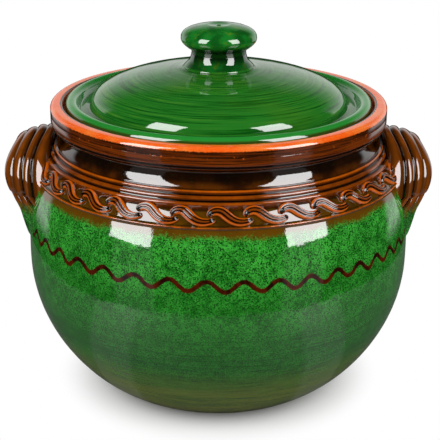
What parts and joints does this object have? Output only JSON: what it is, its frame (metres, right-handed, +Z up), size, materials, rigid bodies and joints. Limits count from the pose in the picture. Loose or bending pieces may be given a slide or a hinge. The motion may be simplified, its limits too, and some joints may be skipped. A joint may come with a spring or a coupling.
{
  "type": "lidded pot",
  "caption": "Round-bellied lidded ceramic pot with a grooved neck, a chain of applied S-scrolls, ribbed loop handles and a domed lid with a turned knob",
  "frame": {"origin": "centre of the flat base, on the surface the pot stands on", "axes": "+Z up; +X through one handle; +Y away from the picture's viewer"},
  "size_m": [0.2638, 0.2404, 0.2311],
  "materials": {
    "body_glaze": "glossy sponged green glaze, brown on the neck, bare terracotta on the rim",
    "scroll_glaze": "glossy amber-brown glaze, darker where it pools",
    "handle_glaze": "glossy brown glaze, amber on the ribs and green at the tails",
    "lid_glaze": "glossy green glaze over throwing rings"
  },
  "bodies": {
    "pot": {"pot_body": "body_glaze", "scroll_01": "scroll_glaze", "scroll_02": "scroll_glaze", "scroll_03": "scroll_glaze", "scroll_04": "scroll_glaze", "scroll_05": "scroll_glaze", "scroll_06": "scroll_glaze", "scroll_07": "scroll_glaze", "scroll_08": "scroll_glaze", "scroll_09": "scroll_glaze", "scroll_10": "scroll_glaze", "scroll_11": "scroll_glaze", "scroll_12": "scroll_glaze", "scroll_13": "scroll_glaze", "scroll_14": "scroll_glaze", "scroll_15": "scroll_glaze", "scroll_16": "scroll_glaze", "scroll_17": "scroll_glaze", "scroll_18": "scroll_glaze", "scroll_19": "scroll_glaze", "scroll_20": "scroll_glaze", "scroll_21": "scroll_glaze", "scroll_22": "scroll_glaze", "scroll_23": "scroll_glaze", "scroll_24": "scroll_glaze", "scroll_25": "scroll_glaze", "scroll_26": "scroll_glaze", "scroll_27": "scroll_glaze", "scroll_28": "scroll_glaze", "scroll_29": "scroll_glaze", "scroll_30": "scroll_glaze", "scroll_31": "scroll_glaze", "scroll_32": "scroll_glaze", "scroll_33": "scroll_glaze", "scroll_34": "scroll_glaze", "handle_left": "handle_glaze", "handle_right": "handle_glaze"},
    "lid": {"lid": "lid_glaze", "lid_knob": "lid_glaze"}
  },
  "joints": [
    {"name": "lid_lift", "type": "slide", "parent": "pot", "child": "lid", "axis": [0, 0, 1], "range_m": [0, 0.12]}
  ]
}
